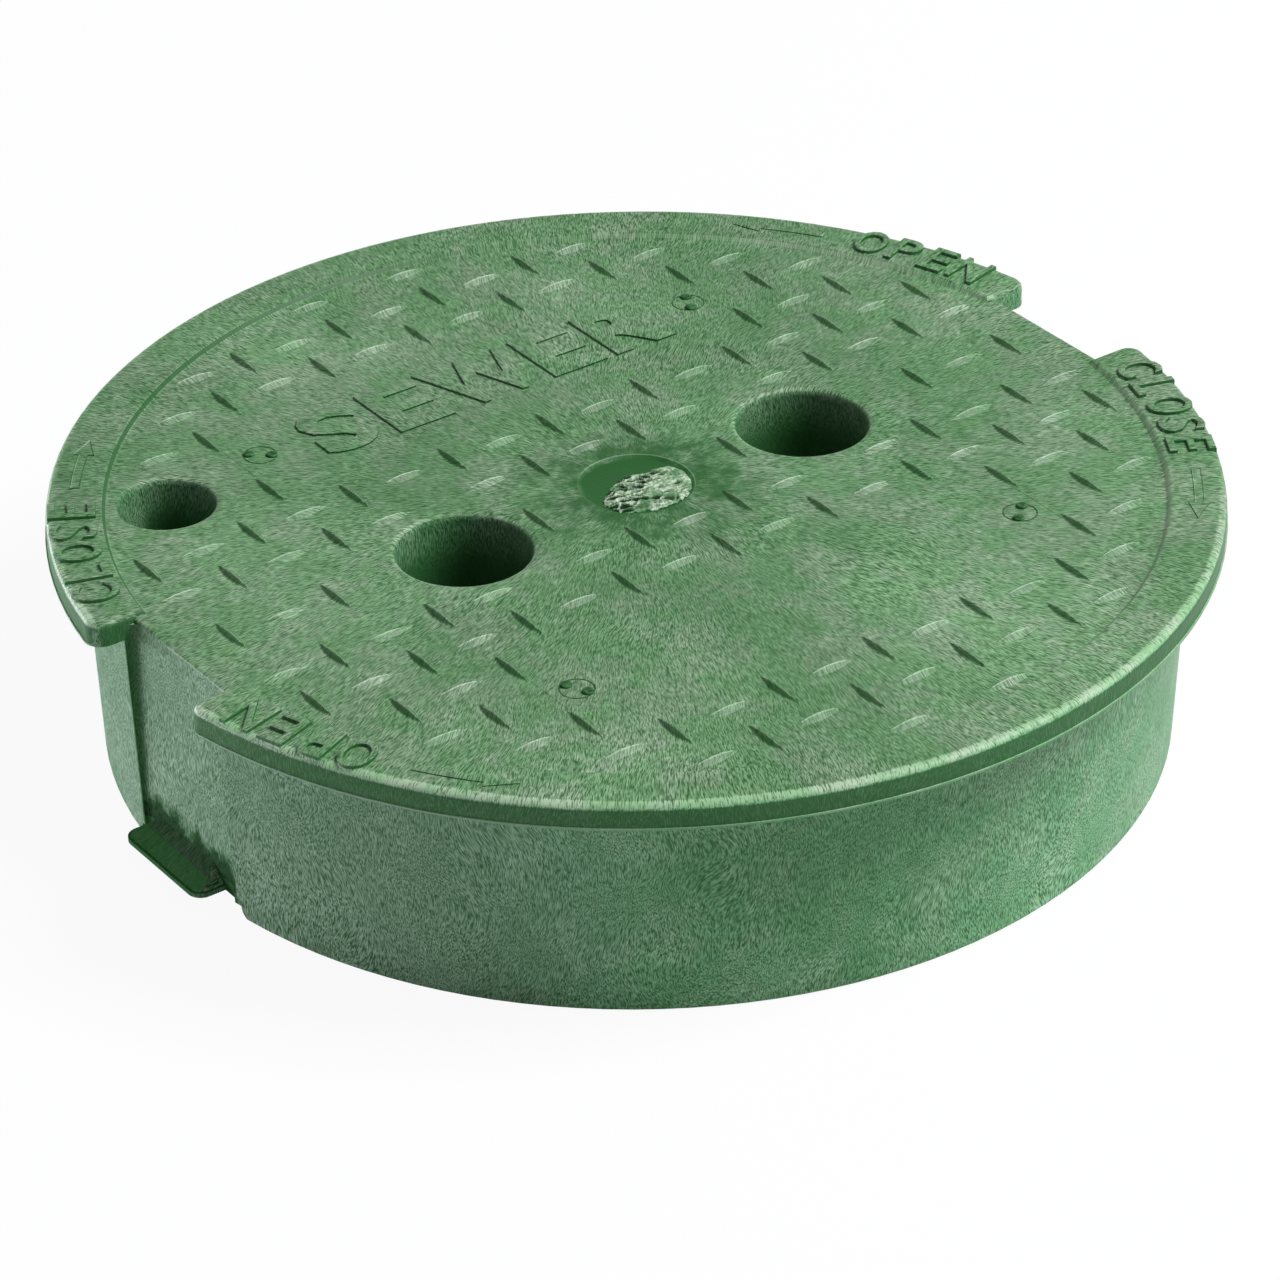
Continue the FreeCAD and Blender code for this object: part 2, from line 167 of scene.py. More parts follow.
# soft steps by distance from the cover's axis or its middle planes
OUT_OF_DISH = (12.5 * MM, 14.5 * MM)
DISH_EDGE_INSIDE = (13.75 * MM, 13.95 * MM)
DISH_EDGE_OUTSIDE = (14.3 * MM, 14.1 * MM)
DISH_EDGE_FAR_SIDE = (-4 * MM, 8 * MM)
OFF_THE_GATE = (6 * MM, 34 * MM)
BEYOND_GATE = (20 * MM, 22 * MM)
HOLE_BORES = (119 * MM, 116 * MM)
HOLE_LIPS = (119 * MM, 117 * MM)
INSIDE_RIM = (125.2 * MM, 124.6 * MM)
STEP_INSIDE = (124.8 * MM, 125.2 * MM)
STEP_OUTSIDE = (128.5 * MM, 128.0 * MM)
SHOULDER = (137.3 * MM, 138.2 * MM)
FLANGE_SIDE = (138.4 * MM, 139.2 * MM)
FLANGE_LIP = (138.6 * MM, 139.2 * MM)
NOTCH_PANEL = (126.5 * MM, 126.9 * MM)
NOTCH_WIDTH = (20.6 * MM, 20.0 * MM)
NOTCH_CORNER = (17.4 * MM, 19.2 * MM)
NOTCH_LEFT_HALF = (0.0, -100 * MM * MM)

# soft steps by the way a face looks, as a share of up or of north, or by a bar's rise
TOP_FACING = (0.35, 0.6)
STEEP = (0.90, 0.80)
FACING_FRONT = (0.0, -0.6)
LIT_FLANK = (-0.3, -0.55)
BAR_FLANK = (0.02, 0.15)
BAR_CREST = (0.78, 0.92)

# the way from the cover's axis to the camera, and how far round a place counts as in front
TO_CAMERA_X, TO_CAMERA_Y = -0.59, -0.81
IN_FRONT = (-0.1, 0.6)

# colours of the plastic, with few fibres and with many, a green painted as deep shade, a grey painted as
# sheen and a near black painted as shade in the torn cells
MELT_GREEN = (0.024, 0.112, 0.028, 1)
SHADE_GREEN = (0.008, 0.040, 0.011, 1)
DECK_GREEN = (0.315, 0.545, 0.305, 1)
DECK_BLEACHED = (0.44, 0.59, 0.42, 1)
SIDE_GREEN = (0.22, 0.50, 0.26, 1)
SIDE_BLEACHED = (0.32, 0.56, 0.34, 1)
SIDE_GREY_SHEEN = (0.34, 0.48, 0.37, 1)
PRESSED_DARK = (0.012, 0.062, 0.016, 1)
PRESSED_LIGHT = (0.05, 0.17, 0.055, 1)
TORN_DARK = (0.16, 0.30, 0.15, 1)
TORN_PALE = (0.62, 0.74, 0.58, 1)
TORN_GREEN = (0.05, 0.20, 0.06, 1)
TORN_CELL_SHADE = (0.006, 0.030, 0.010, 1)

# the studio and the camera
WHITE = (1, 1, 1, 1)
FLOOR_WHITE = (0.86, 0.89, 0.90, 1)
FLOOR_SIZE = 14
LAMP_AIM = (0, 0, 0.03)
CAMERA_PLACE = (-0.61244171, -0.84729977, 0.66878042)
CAMERA_TURN = (58.03205783, 0.50462587, -36.20407569)
CAMERA_LENS = 143.246


class Shade:
    """One socket of a material, with arithmetic that adds Math nodes."""

    def __init__(self, tree, socket=None):
        self.tree = tree
        self.socket = socket

    def add(self, kind, settings, inputs, output=0):
        """A node of one type: its settings first, then the values or links of its sockets."""
        node = self.tree.nodes.new(kind)
        for name, value in settings.items():
            setattr(node, name, value)
        for key, value in inputs.items():
            if isinstance(value, Shade):
                self.tree.links.new(value.socket, node.inputs[key])
            else:
                node.inputs[key].default_value = value
        return Shade(self.tree, node.outputs[output] if node.outputs else None)

    def maths(self, operation, *values):
        return self.add("ShaderNodeMath", {"operation": operation}, dict(enumerate((self,) + values)))

    def __add__(self, other):
        return self.maths("ADD", other)

    def __radd__(self, other):
        return self.maths("ADD", other)

    def __sub__(self, other):
        return self.maths("SUBTRACT", other)

    def __rsub__(self, other):
        return (self * -1.0).maths("ADD", other)

    def __mul__(self, other):
        return self.maths("MULTIPLY", other)

    def __truediv__(self, other):
        return self.maths("DIVIDE", other)

    def __pow__(self, other):
        return self.maths("POWER", other)

    def rise(self, low, high):
        """0 below low, 1 above high, smooth between; turned round where low is above high."""
        settings = {"interpolation_type": "SMOOTHSTEP"}
        if low > high:
            stops = {"From Min": high, "From Max": low, "To Min": 1.0, "To Max": 0.0}
        else:
            stops = {"From Min": low, "From Max": high, "To Min": 0.0, "To Max": 1.0}
        return self.add("ShaderNodeMapRange", settings, {"Value": self, **stops})

    def axis(self, index):
        return self.add("ShaderNodeSeparateXYZ", {}, {0: self}, index)

    def noise(self, scale, detail, roughness, output=0):
        settings = {"noise_dimensions": "3D"}
        values = {"Vector": self, "Scale": scale, "Detail": detail, "Roughness": roughness}
        return self.add("ShaderNodeTexNoise", settings, values, output)

    def blend(self, low, high):
        """The colour low where this is 0 and high where it is 1."""
        settings = {"data_type": "RGBA", "clamp_factor": True}
        return self.add("ShaderNodeMix", settings, {0: self, 6: low, 7: high}, 2)


def deselect_all():
    if bpy.context.object and bpy.context.object.mode != "OBJECT":
        bpy.ops.object.mode_set(mode="OBJECT")
    bpy.ops.object.select_all(action="DESELECT")


def pick(piece):
    """The piece alone selected and active."""
    deselect_all()
    piece.select_set(True)
    bpy.context.view_layer.objects.active = piece


def settle(piece):
    """Places the piece's origin at the frame's, with its place in its mesh."""
    pick(piece)
    bpy.ops.object.transform_apply(location=True, rotation=True, scale=True)


def choose(piece, kind, test):
    """In edit mode, selects the vertices, edges or faces that pass the test."""
    bpy.ops.mesh.select_all(action="DESELECT")
    shape = bmesh.from_edit_mesh(piece.data)
    bpy.context.tool_settings.mesh_select_mode = tuple(kind == k for k in ("verts", "edges", "faces"))
    for element in getattr(shape, kind):
        if test(element):
            element.select_set(True)
    shape.select_flush_mode()
    bmesh.update_edit_mesh(piece.data)


def face_outward():
    """Ends edit mode with all normals turned out."""
    bpy.ops.mesh.select_all(action="SELECT")
    bpy.ops.mesh.normals_make_consistent(inside=False)
    bpy.ops.object.mode_set(mode="OBJECT")


def finish_piece(piece, name, finish, smooth_angle=30):
    """Names the piece, smooths it, gives it its finish and lets it ride on the cover's body."""
    settle(piece)
    piece.name = name
    piece.data.name = name
    bpy.ops.object.shade_smooth_by_angle(angle=math.radians(smooth_angle))
    piece.data.materials.clear()
    piece.data.materials.append(finish)
    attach(piece, "root")
    deselect_all()
    return piece


def blank_material(name):
    """A new material without nodes, and the shade that adds them."""
    finish = bpy.data.materials.new(name)
    finish.use_nodes = True
    finish.node_tree.nodes.clear()
    return finish, Shade(finish.node_tree)


def show_surface(start, surface):
    start.add("ShaderNodeOutputMaterial", {"target": "ALL"}, {"Surface": surface})


def shifted(place, drift, reach):
    """The place moved along the drift, so that what is laid on it curves."""
    pull = place.add("ShaderNodeVectorMath", {"operation": "SCALE"}, {0: drift, "Scale": reach})
    return place.add("ShaderNodeVectorMath", {"operation": "ADD"}, {0: place, 1: pull})


def cover_spot(start):
    """Where a point of the cover lies, which way it faces and what it belongs to, as shades."""
    place = start.add("ShaderNodeTexCoord", {}, {}, "Object")
    facing = start.add("ShaderNodeTexCoord", {}, {}, "Normal")
    x, y, z = [place.axis(index) for index in range(3)]
    east, north, up = [facing.axis(index) for index in range(3)]
    radius = (x * x + y * y) ** 0.5
    steep = up.rise(*STEEP)
    ridge = start.add("ShaderNodeAttribute", {"attribute_name": "ridge"}, {}, "Fac")
    rim_step = steep * z.rise(*STEP_FOOT) * z.rise(*STEP_HEAD)
    rim_step = rim_step * radius.rise(*STEP_INSIDE) * radius.rise(*STEP_OUTSIDE)
    return SimpleNamespace(
        place=place, x=x, y=y, z=z, radius=radius, east=east, north=north, up=up,
        top_face=up.rise(*TOP_FACING), steep=steep, ridge=ridge, on_bar=ridge.rise(*BAR_FLANK),
        rim_step=rim_step, eastward=x / radius, patch=place.noise(*PATCH_NOISE),
        in_front=((x * TO_CAMERA_X + y * TO_CAMERA_Y) / radius).rise(*IN_FRONT))


def radial_fibres(start, place, drift):
    """Fibres on the level faces, straight out from the gate with a slow wander."""
    bent = shifted(place, drift, DECK_WANDER)
    across = bent.axis(0)
    away = bent.axis(1)
    reach = ((across * across + away * away) ** 0.5).maths("MAXIMUM", INNER_RING)
    octave = (reach / INNER_RING).maths("LOGARITHM", 2.0)
    ring = octave.maths("FLOOR")
    doubled = start.add("ShaderNodeMath", {"operation": "POWER"}, {0: 2.0, 1: ring})
    spokes = doubled * (INNER_RING / FIBRE_WIDTH)
    layers = []
    for count in (spokes, spokes * 2.0):
        spread = {0: across / reach * count, 1: away / reach * count, 2: reach / DECK_FIBRE_LENGTH}
        layers.append(start.add("ShaderNodeCombineXYZ", {}, spread).noise(*FIBRE_NOISE))
    inner, outer = layers
    return inner + (outer - inner) * (octave - ring)


def hanging_fibres(start, place, drift):
    """Fibres on the upright faces, which hang down and swirl."""
    values = {
        "Vector": shifted(place, drift, SIDE_SWIRL),
        "Scale": (FIBRE_WIDTH, FIBRE_WIDTH, SIDE_FIBRE_LENGTH),
    }
    return start.add("ShaderNodeMapping", {"vector_type": "TEXTURE"}, values).noise(*FIBRE_NOISE)


def fibre_strands(start, spot):
    """The fibres of either kind of face, from 0 between them to 1 on them."""
    drift = spot.place.noise(*DRIFT_NOISE, 1)
    drift = start.add("ShaderNodeVectorMath", {"operation": "SUBTRACT"}, {0: drift, 1: (0.5, 0.5, 0.5)})
    level = radial_fibres(start, spot.place, drift)
    upright = hanging_fibres(start, spot.place, drift)
    fibres = upright + (level - upright) * spot.top_face.maths("MAXIMUM", spot.on_bar)
    return fibres.rise(0.28, 0.74)


def fibre_load(spot):
    """How much pale fibre the melt carried: in clouds, more at the pale spots and little by the gate;
    upright faces get more as painted fill light, most at the skirt's foot.
    """
    cloud = spot.place.noise(*CLOUD_NOISE)
    load = 0.66 + (cloud - 0.5) * 0.7 + (spot.patch - 0.5) * 0.5
    for spot_x, spot_y, spread, extra in PALE_SPOTS:
        off_x = spot.x - spot_x * MM
        off_y = spot.y - spot_y * MM
        load = load + ((off_x * off_x + off_y * off_y) ** 0.5).rise(spread * MM, 0.0) * extra
    off_gate = (spot.radius + (spot.patch - 0.5) * GATE_RAGGEDNESS).rise(*OFF_THE_GATE)
    load = load * (0.05 + off_gate * 0.95) * spot.radius.rise(*OUT_OF_DISH)
    # upright faces paler, most lower down the skirt: painted fill light
    return load * (1.08 + spot.z.rise(*DOWN_THE_SKIRT) * 0.3 - spot.top_face * 0.08)


def bare_and_shaded_places(spot, strands):
    """Places with few fibres and places painted in shade; of these, those round the lugs, and the places
    painted in deep shade.
    """
    z = spot.z
    upright = 1.0 - spot.top_face

    # walls of the bars, of the service word and of the rim's letters: painted shade, strongest on walls
    # facing the front
    to_front = spot.north.rise(*FACING_FRONT)
    # the bars' flanks that look south, toward the key lamp, are spared part of the painted shade
    lit_flank = spot.north.rise(*LIT_FLANK) * spot.on_bar * (0.4 + spot.patch * 0.9)
    wall = spot.steep * z.rise(*ABOVE_DECK) * spot.radius.rise(*INSIDE_RIM) * (1.0 - lit_flank)
    # the service word's front walls are painted in deep shade
    word_front_shade = wall * to_front * (1.0 - spot.on_bar)
    shade_toward_front = 0.25 + to_front * 0.75
    wall = wall * (1.0 - spot.ridge * 0.4) * (shade_toward_front + (1.0 - shade_toward_front) * spot.up.rise(0.2, 0.5))
    letter_wall_shade = spot.up.rise(0.5, 0.3) * z.rise(*ABOVE_RIM) * shade_toward_front

    # bores, the flange's side and the rim's step: painted shade down the bores, on the flange's side
    # toward the camera and on the step's west half; the flange's side also has few fibres
    bore_shade = spot.radius.rise(*HOLE_BORES) * upright * z.rise(*DOWN_A_HOLE)
    flange_side_bare_and_shade = spot.radius.rise(*FLANGE_SIDE) * upright
    flange_side_bare_and_shade = flange_side_bare_and_shade * (1.1 - strands * (0.45 - spot.in_front * 0.2))
    step = spot.rim_step * spot.eastward.rise(0.5, 0.0)

    # notches: their lugs, the lugs' roots painted in deep shade, and one corner of each
    side_x = spot.x.maths("ABSOLUTE")
    side_y = spot.y.maths("ABSOLUTE")
    notch = side_x.rise(*NOTCH_PANEL) * side_y.rise(*NOTCH_WIDTH)
    ragged = z + (spot.patch - 0.5) * LUG_RAGGEDNESS
    lug_end = (spot.north * spot.y / side_y).rise(0.25, 0.5) * z.rise(*LUG_END_TOP)
    by_lug = ragged.rise(*ROUND_A_LUG) * notch * (1.0 - lug_end * 0.8)
    lug_root_shade = notch * z.rise(*ABOVE_LUG_KNEE) * ragged.rise(*LUG_ROOT) * (1.0 - lug_end)
    in_corner = notch * side_y.rise(*NOTCH_CORNER) * (spot.x * spot.y).rise(*NOTCH_LEFT_HALF) * upright

    bare_and_shade = wall
    for place in (letter_wall_shade, bore_shade, flange_side_bare_and_shade, step, by_lug, in_corner * 0.9):
        bare_and_shade = bare_and_shade.maths("MAXIMUM", place)
    return bare_and_shade, by_lug, lug_root_shade.maths("MAXIMUM", word_front_shade)


def painted_highlights_and_seam(spot, strands):
    """Painted highlights on the rim's rounded front edge, the bars' crests, the rim letters' edges, the
    holes' lips, the dish's far edge and the step's east half, and a pale parting line.
    """
    # painted highlight on the rim's rounded front edge, only on the side toward the camera and broken up
    # by the fibres
    shoulder_highlight = spot.radius.rise(*SHOULDER) * spot.z.rise(*SHOULDER_FOOT) * spot.z.rise(*SHOULDER_HEAD)
    shoulder_highlight = shoulder_highlight * (0.15 + strands * 1.5) * spot.patch.rise(0.18, 0.45) * spot.in_front
    seam = spot.radius.rise(*FLANGE_LIP) * spot.z.rise(*PARTING_LINE)
    # painted highlights on the bars' crests and the rim letters' edges
    crest_highlight = spot.ridge.rise(*BAR_CREST) * (0.3 + strands * 0.5)
    letter_edge_highlight = spot.steep * spot.up.rise(0.3, 0.5) * spot.z.rise(*RIM_LETTER_EDGE)
    # painted highlight on the holes' lips, broken up by the fibres
    lip_highlight = spot.up.rise(0.97, 0.90) * spot.up.rise(0.45, 0.6) * spot.z.rise(*BELOW_DECK)
    lip_highlight = lip_highlight * spot.radius.rise(*HOLE_LIPS) * spot.radius.rise(*BEYOND_GATE)
    # painted highlight on the dish's far edge
    dish_edge_highlight = spot.radius.rise(*DISH_EDGE_INSIDE) * spot.radius.rise(*DISH_EDGE_OUTSIDE)
    dish_edge_highlight = dish_edge_highlight * (spot.x + spot.y).rise(*DISH_EDGE_FAR_SIDE) * spot.top_face
    # painted highlight on the step's east half
    step = spot.rim_step * spot.eastward.rise(0.3, 0.8)
    highlights_and_seam = shoulder_highlight * 0.95 + seam * 0.5 + crest_highlight + lip_highlight * strands * 0.3
    return highlights_and_seam + dish_edge_highlight * 0.3 + letter_edge_highlight * 0.25 + step * 0.35


def fibre_colour(spot):
    """Green of the fibres, paler where they bleached, and a painted grey sheen on the upright faces that
    look west.
    """
    bleached = spot.place.noise(*BLEACH_NOISE).rise(0.42, 0.62)
    level = bleached.blend(DECK_GREEN, DECK_BLEACHED)
    upright = bleached.blend(SIDE_GREEN, SIDE_BLEACHED)
    # painted grey sheen on upright faces that look west
    upright = spot.east.rise(-0.5, -0.9).blend(upright, SIDE_GREY_SHEEN)
    return spot.top_face.blend(upright, level)


def fibrous_plastic():
    """Moulded green plastic with pale fibres that follow the way the melt flowed, and with shade and
    highlights painted into its colour.
    """
    finish, start = blank_material("fibrous_green_plastic")
    spot = cover_spot(start)
    strands = fibre_strands(start, spot)
    bare_and_shade, by_lug, deep_shade = bare_and_shaded_places(spot, strands)
    load = fibre_load(spot) * (1.0 - bare_and_shade * 0.9)
    # pale fibres, with the painted highlights and the pale parting line added
    pale = load * (strands * 1.1 - 0.02) + painted_highlights_and_seam(spot, strands)
    # the melt's green, darkened to a painted deep shade on the lugs' roots and the service word's front
    # walls
    colour = pale.blend(deep_shade.blend(MELT_GREEN, SHADE_GREEN), fibre_colour(spot))
    grain = spot.place.noise(*GRAIN_NOISE)
    relief = start.add("ShaderNodeBump", {}, {"Strength": 0.6, "Distance": 0.12 * MM, "Height": grain})
    values = {
        "Base Color": colour,
        "Roughness": 0.36 + strands * 0.14,
        "Specular IOR Level": 0.22,
        "Normal": relief,
    }
    polished = start.add("ShaderNodeBsdfPrincipled", {}, values)
    values = {"Base Color": colour, "Roughness": 0.9, "Specular IOR Level": 0.0}
    matt = start.add("ShaderNodeBsdfPrincipled", {}, values)
    show_surface(start, start.add("ShaderNodeMixShader", {}, {0: by_lug * 0.8, 1: polished, 2: matt}))
    return finish


def bare_plastic():
    """The same plastic where a mould screw pressed it, without fibres."""
    finish, start = blank_material("bare_green_plastic")
    grain = start.add("ShaderNodeTexCoord", {}, {}, "Object").noise(900.0, 2.0, 0.6)
    values = {
        "Base Color": grain.rise(0.35, 0.65).blend(PRESSED_DARK, PRESSED_LIGHT),
        "Roughness": 0.35 + grain * 0.2,
        "Specular IOR Level": 0.22,
    }
    show_surface(start, start.add("ShaderNodeBsdfPrincipled", {}, values))
    return finish


def torn_plastic():
    """Broken plastic at the gate: pale stretched webs round cells painted dark as shade."""
    finish, start = blank_material("torn_green_plastic")
    place = start.add("ShaderNodeTexCoord", {}, {}, "Object")
    web = start.add("ShaderNodeAttribute", {"attribute_name": "web"}, {}, "Fac")
    grain = place.noise(1300.0, 2.0, 0.6)
    wall_colour = grain.rise(0.35, 0.7).blend(TORN_DARK, TORN_PALE)
    green_patch = place.noise(170.0, 1.0, 0.5).rise(0.50, 0.62)
    wall_colour = (green_patch * 0.75).blend(wall_colour, TORN_GREEN)
    # the cells between the webs are painted near black as shade
    colour = (web + (grain - 0.5) * 0.3).rise(0.15, 0.8).blend(TORN_CELL_SHADE, wall_colour)
    relief = start.add("ShaderNodeBump", {}, {"Strength": 0.5, "Distance": 0.15 * MM, "Height": grain})
    values = {
        "Base Color": colour,
        "Roughness": 0.3 + grain * 0.3,
        "Specular IOR Level": 0.25,
        "Normal": relief,
    }
    show_surface(start, start.add("ShaderNodeBsdfPrincipled", {}, values))
    return finish


def is_crisp_edge(edge):
    """Whether an edge is the ridge or the foot of a tread bar, or a fold of a lug."""
    low = min(corner.co.z for corner in edge.verts)
    high = max(corner.co.z for corner in edge.verts)
    far = max(corner.co.to_2d().length for corner in edge.verts)
    out = min(abs(corner.co.x) for corner in edge.verts)
    on_bar = low > DECK_TOP - 0.05 * MM and far < BAR_FIELD_RADIUS
    on_lug = high < LUG_TOP and out > LUG_FACE_X
    return (on_bar or on_lug) and edge.calc_face_angle(0) > math.radians(CRISP_ANGLE)


def cover_shell(finish):
    """The moulded cover: the solid's own shape with its rounded edges shaded smooth."""
    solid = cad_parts["cover"]
    shell = solid.copy()
    shell.data = solid.data.copy()
    shell.parent = None
    for key in list(shell.keys()):
        if key.startswith("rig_"):
            del shell[key]
    bpy.context.scene.collection.objects.link(shell)
    pick(shell)
    bpy.ops.object.mode_set(mode="EDIT")
    bpy.ops.mesh.select_all(action="SELECT")
    bpy.ops.mesh.remove_doubles(threshold=SHELL_WELD)
    bpy.ops.object.mode_set(mode="OBJECT")
    bpy.ops.mesh.customdata_custom_splitnormals_clear()
    finish_piece(shell, "cover_shell", finish, SHELL_SMOOTH_ANGLE)
    pick(shell)
    bpy.ops.object.mode_set(mode="EDIT")
    choose(shell, "edges", is_crisp_edge)
    bpy.ops.mesh.mark_sharp()
    bpy.ops.object.mode_set(mode="OBJECT")
    weighted = shell.modifiers.new("face_weights", "WEIGHTED_NORMAL")
    weighted.keep_sharp = True
    bpy.ops.object.modifier_apply(modifier=weighted.name)
    ridge = shell.data.attributes.new("ridge", "FLOAT", "POINT")
    for corner in shell.data.vertices:
        on_bar = corner.co.z > DECK_TOP + CREST_RISE and corner.co.to_2d().length < CREST_FIELD_RADIUS
        ridge.data[corner.index].value = 1.0 if on_bar else 0.0
    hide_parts("cover")
    deselect_all()
    return shell


def raised_letter(letter, height, thickening, rise, draft):
    """One upright letter made a mesh, its middle at the origin."""
    deselect_all()
    bpy.ops.object.text_add(location=(0, 0, 0))
    text = bpy.context.object
    text.data.body = letter
    text.data.size = height * FONT_SIZE_PER_HEIGHT
    text.data.resolution_u = 4
    text.data.offset = thickening
    text.data.extrude = rise - draft
    text.data.bevel_depth = draft
    text.data.bevel_resolution = 1
    bpy.ops.object.convert(target="MESH")
    shape = bpy.context.object
    bpy.ops.object.mode_set(mode="EDIT")
    bpy.ops.mesh.select_all(action="SELECT")
    bpy.ops.mesh.remove_doubles(threshold=WELD)
    face_outward()
    bpy.ops.object.origin_set(type="ORIGIN_GEOMETRY", center="BOUNDS")
    shape.location = (0, 0, 0)
    return shape


def join(shapes):
    """The shapes made one piece."""
    deselect_all()
    for shape in shapes:
        shape.select_set(True)
    bpy.context.view_layer.objects.active = shapes[0]
    bpy.ops.object.join()
    return shapes[0]


def service_word(finish):
    """The raised word across the far plate, each letter at its own width."""
    row = []
    for letter, centre, width in WORD_LETTERS:
        shape = raised_letter(letter, WORD_HEIGHT, WORD_THICKENING, WORD_RISE, WORD_DRAFT)
        shape.dimensions = (width * MM, WORD_HEIGHT, 2 * WORD_RISE)
        shape.location = (centre * MM, WORD_CENTRE_Y, DECK_TOP)
        settle(shape)
        row.append(shape)
    return finish_piece(join(row), "service_word", finish)


def on_circle(radius, degrees, height):
    """The point at this radius, angle and height."""
    angle = math.radians(degrees)
    return Vector((radius * math.cos(angle), radius * math.sin(angle), height))


def rim_word(name, word, first, pitch, finish):
    """Letters along the rim, tops outward, from the first letter's angle clockwise."""
    row = []
    for index, letter in enumerate(word):
        shape = raised_letter(
            letter, RIM_LETTER_HEIGHT, RIM_LETTER_THICKENING, RIM_LETTER_RISE, RIM_LETTER_DRAFT)
        bpy.ops.object.mode_set(mode="EDIT")
        choose(shape, "verts", lambda v: v.co.z < 0)
        bpy.ops.transform.translate(value=(0, 0, -RIM_LETTER_ROOT))
        bpy.ops.object.mode_set(mode="OBJECT")
        stretch = RIM_LETTER_HEIGHT / shape.dimensions.y
        shape.scale = (RIM_LETTER_WIDTHS[letter] * MM / shape.dimensions.x, stretch, 1)
        degrees = first - index * pitch
        shape.rotation_euler = (0, 0, math.radians(degrees) - math.pi / 2)
        shape.location = on_circle(RIM_LETTER_RADIUS, degrees, RIM_TOP)
        settle(shape)
        row.append(shape)
    return finish_piece(join(row), name, finish)


def rim_arrow(name, tail, tip, finish):
    """A flat arrow that follows the rim from its tail's angle to its tip's."""
    side = math.copysign(1, tip - tail)
    neck = tip - side * ARROW_HEAD_TURN
    root = RIM_TOP - ARROW_ROOT
    deselect_all()
    bpy.ops.mesh.primitive_plane_add(size=ARROW_SHAFT, location=(ARROW_RADIUS, 0, root))
    arrow = bpy.context.object
    settle(arrow)

    # the shaft, spun from one edge across the rim
    bpy.ops.object.mode_set(mode="EDIT")
    choose(arrow, "verts", lambda v: v.co.y > 0)
    bpy.ops.mesh.delete(type="VERT")
    shape = bmesh.from_edit_mesh(arrow.data)
    for corner in shape.verts:
        corner.co = on_circle(corner.co.x, tail, corner.co.z)
    bmesh.update_edit_mesh(arrow.data)
    bpy.ops.mesh.select_all(action="SELECT")
    bpy.ops.mesh.spin(steps=8, angle=math.radians(tail - neck), center=(0, 0, 0), axis=(0, 0, 1))

    # the head, widened at the neck and drawn to a point
    middle = on_circle(ARROW_RADIUS, neck, root)
    bpy.ops.mesh.extrude_edges_move()
    widen = ARROW_HEAD / ARROW_SHAFT
    bpy.ops.transform.resize(value=(widen, widen, 1), center_override=middle)
    bpy.ops.mesh.extrude_edges_move()
    bpy.ops.transform.translate(value=on_circle(ARROW_RADIUS, tip, root) - middle)
    bpy.ops.mesh.merge(type="CENTER")

    # its rise above the rim
    bpy.ops.mesh.select_all(action="SELECT")
    lift = ARROW_ROOT + ARROW_RISE - ARROW_DRAFT
    bpy.ops.mesh.extrude_region_move(TRANSFORM_OT_translate={"value": (0, 0, lift)})
    bpy.ops.mesh.inset(thickness=ARROW_DRAFT, depth=ARROW_DRAFT)
    bpy.ops.mesh.select_all(action="SELECT")
    bpy.ops.mesh.remove_doubles(threshold=WELD)
    face_outward()
    return finish_piece(arrow, name, finish)


def leave_border(width, rise):
    """Turns the flat face in edit mode into a raised line along its border."""
    bpy.ops.mesh.select_all(action="SELECT")
    bpy.ops.mesh.inset(thickness=width, depth=0)
    bpy.ops.mesh.delete(type="FACE")
    bpy.ops.mesh.select_all(action="SELECT")
    bpy.ops.mesh.extrude_region_move(TRANSFORM_OT_translate={"value": (0, 0, LINE_ROOT + rise)})
    face_outward()


def plate_outline(name, middle_y, finish):
    """The fine raised line where the mould's insert plate met the deck."""
    deselect_all()
    bpy.ops.mesh.primitive_plane_add(size=1, location=(0, middle_y, DECK_TOP - LINE_ROOT))
    line = bpy.context.object
    line.scale = (2 * PLATE_HALF_LENGTH, PLATE_OUTER_Y - PLATE_INNER_Y, 1)
    settle(line)
    bpy.ops.object.mode_set(mode="EDIT")
    bpy.ops.mesh.select_all(action="SELECT")
    bpy.ops.mesh.bevel(offset=PLATE_CORNER, segments=5, affect="VERTICES")
    leave_border(HAIRLINE_WIDTH, HAIRLINE_RISE)
    return finish_piece(line, name, finish)


def screw_mark(name, centre_x, centre_y, pip_angle, finish):
    """The imprint of an insert screw: a fine ring and two pips."""
    deselect_all()
    bpy.ops.mesh.primitive_circle_add(
        vertices=40, radius=SCREW_RING / 2, fill_type="NGON",
        location=(centre_x, centre_y, DECK_TOP - LINE_ROOT))
    ring = bpy.context.object
    bpy.ops.object.mode_set(mode="EDIT")
    leave_border(SCREW_RING_WIDTH, SCREW_RING_RISE)
    settle(ring)
    parts = [ring]
    centre = Vector((centre_x, centre_y, 0))
    for side in (-1, 1):
        deselect_all()
        bpy.ops.mesh.primitive_cylinder_add(
            vertices=16, radius=PIP_WIDTH / 2, depth=PIP_DEPTH,
            location=centre + on_circle(side * PIP_SPACING / 2, pip_angle, DECK_TOP))
        pip = bpy.context.object
        bpy.ops.object.mode_set(mode="EDIT")
        choose(pip, "faces", lambda f: f.normal.z > 0.9)
        bpy.ops.mesh.bevel(offset=PIP_ROUNDING, segments=2, affect="EDGES")
        bpy.ops.object.mode_set(mode="OBJECT")
        settle(pip)
        parts.append(pip)
    return finish_piece(join(parts), name, finish, PIP_SMOOTH_ANGLE)


def clamped(value):
    return min(max(value, 0), 1)


